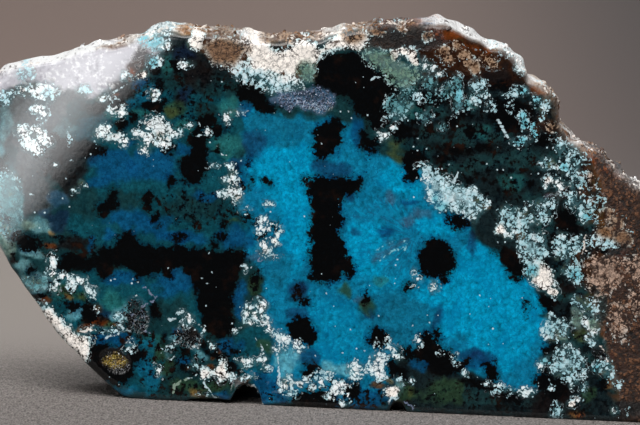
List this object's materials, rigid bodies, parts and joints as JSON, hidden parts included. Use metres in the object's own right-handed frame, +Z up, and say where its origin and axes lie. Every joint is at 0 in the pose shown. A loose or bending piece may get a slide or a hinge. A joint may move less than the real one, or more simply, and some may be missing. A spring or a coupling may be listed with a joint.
{
  "type": "opalized petrified wood slab",
  "caption": "Free-standing slab of blue opalized petrified wood, polished to a low dome in front, with a natural rind round its rim and a flat sawn foot to stand on.",
  "frame": {"origin": "middle of the underside of the bounding box, on the plane of the sawn foot", "axes": "+X along the foot, from the thin left tip to the broad right end; +Y from the polished face to the sawn back; +Z up"},
  "size_m": [0.0772, 0.0148, 0.0389],
  "materials": {
    "polished_opal": "polished blue, black, white and brown opal on the face, duller on the sawn back and the rind"
  },
  "bodies": {
    "root": {"opalized_wood": "polished_opal"}
  },
  "joints": []
}
